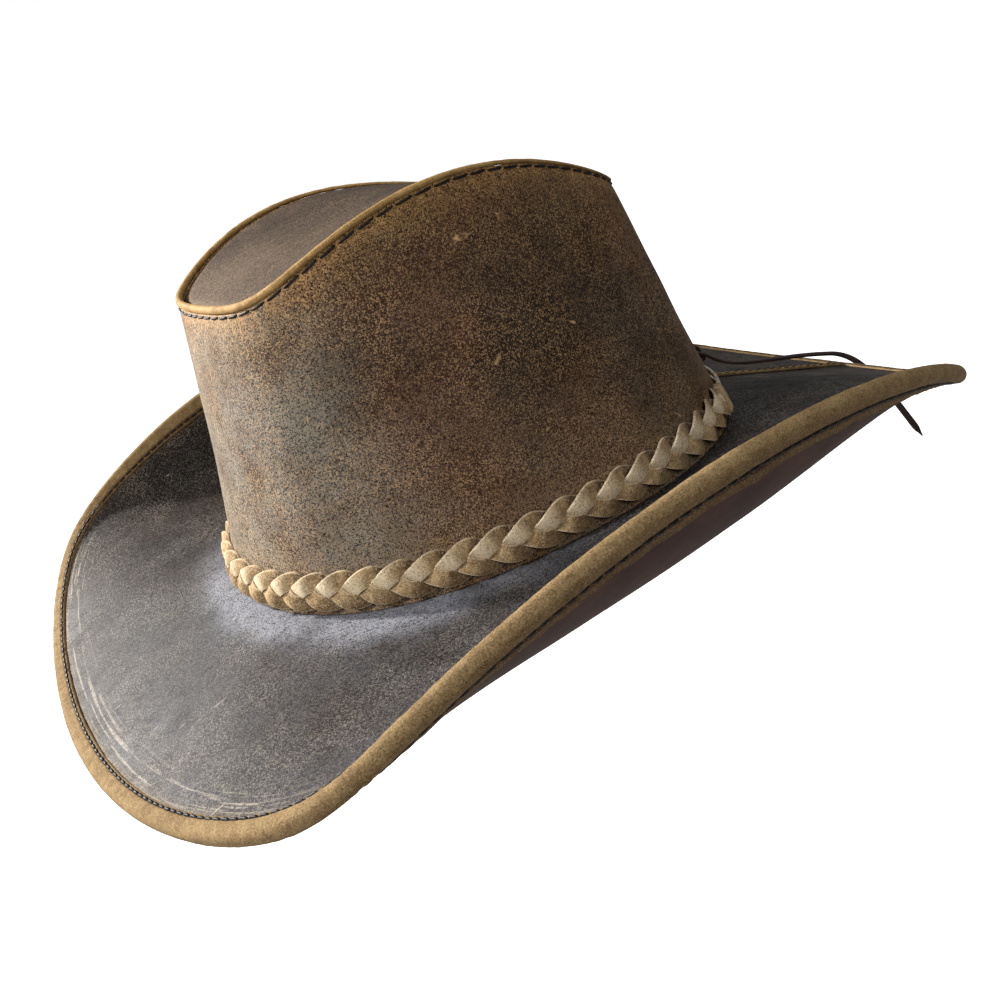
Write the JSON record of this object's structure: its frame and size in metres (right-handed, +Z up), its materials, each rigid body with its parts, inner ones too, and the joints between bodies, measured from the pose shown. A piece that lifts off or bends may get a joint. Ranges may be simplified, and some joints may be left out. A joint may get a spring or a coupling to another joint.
{
  "type": "cowboy hat",
  "caption": "Leather western hat: seamed crown with a raised tip, brim rolled up at both sides with a stitched edge binding, and a lift-off braided hat band.",
  "frame": {"origin": "centre of the head opening, in the plane where the crown meets the brim", "axes": "+Z up out of the crown, -Y to the front of the hat, +X to the wearer's left"},
  "size_m": [0.3288, 0.406, 0.2003],
  "materials": {
    "crown_leather": "oiled pull-up leather, worn lighter along the seams",
    "tip_leather": "oiled pull-up leather with a dull bloom",
    "brim_leather": "slate brown oiled leather with scuffs",
    "under_leather": "smooth reddish brown leather",
    "binding_leather": "light tan suede-like leather",
    "welt_leather": "tan leather piping, worn",
    "braid_leather": "khaki tan suede lace",
    "lace_leather": "pale tan flat lace",
    "dark_lace": "dark brown flat lace",
    "thread": "black waxed thread",
    "lining_leather": "smooth lining leather",
    "wire": "plain steel wire"
  },
  "bodies": {
    "hat": {"crown_wrap": "crown_leather", "crown_tip": "tip_leather", "tip_welt": "welt_leather", "tip_thread": "thread", "crown_back_thread": "thread", "brim_top_leather": "brim_leather", "brim_under_leather": "under_leather", "edge_binding": "binding_leather", "edge_thread_top": "thread", "edge_thread_under": "thread", "brim_wire": "wire", "brim_seam_strip": "binding_leather", "brim_seam_thread": "thread", "sweatband": "lining_leather", "sweatband_thread": "thread", "sweatband_joint_cover": "lining_leather"},
    "hat_band": {"band_wrap_left": "braid_leather", "band_wrap_right": "braid_leather", "tie_lace_left": "lace_leather", "tie_lace_right": "lace_leather", "lace_knot": "lace_leather", "lace_tail_long": "dark_lace", "lace_tail_short": "dark_lace", "braid_strand_1": "braid_leather", "braid_strand_2": "braid_leather", "braid_strand_3": "braid_leather"}
  },
  "joints": [
    {"name": "band_lift", "type": "slide", "parent": "hat", "child": "hat_band", "axis": [0, 0, 1], "range_m": [0, 0.15]}
  ]
}
